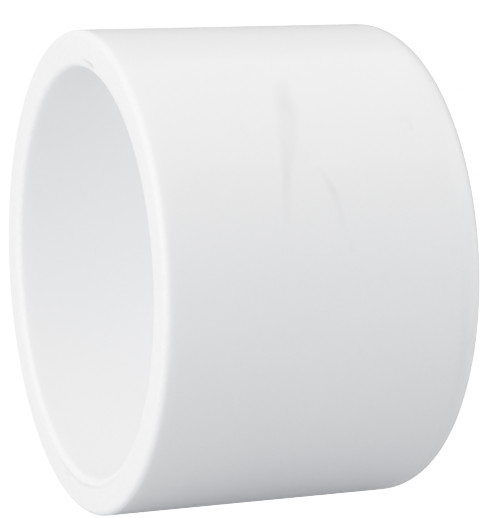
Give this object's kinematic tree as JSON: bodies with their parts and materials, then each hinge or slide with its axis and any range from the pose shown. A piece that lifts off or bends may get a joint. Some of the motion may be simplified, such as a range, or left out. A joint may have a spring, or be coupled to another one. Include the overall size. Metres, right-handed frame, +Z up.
{
  "type": "pipe cap",
  "caption": "Round slip-socket pipe cap: a thick-walled cup with a tapered socket, an inner pipe stop and a flat closed end, pushed and cemented over a pipe end to close it.",
  "frame": {"origin": "under the middle of the cap, on the surface that it lies on: the centre of the bottom of its bounding box", "axes": "+X along the cap's axis, from the open socket towards the closed end; +Z up; the socket opens towards -X and the cap lies on its side"},
  "size_m": [0.0348, 0.05, 0.05],
  "materials": {
    "white_pvc": "moulded rigid white PVC, semi-gloss, with faint handling scuffs"
  },
  "bodies": {
    "root": {"cap_body": "white_pvc"}
  },
  "joints": []
}
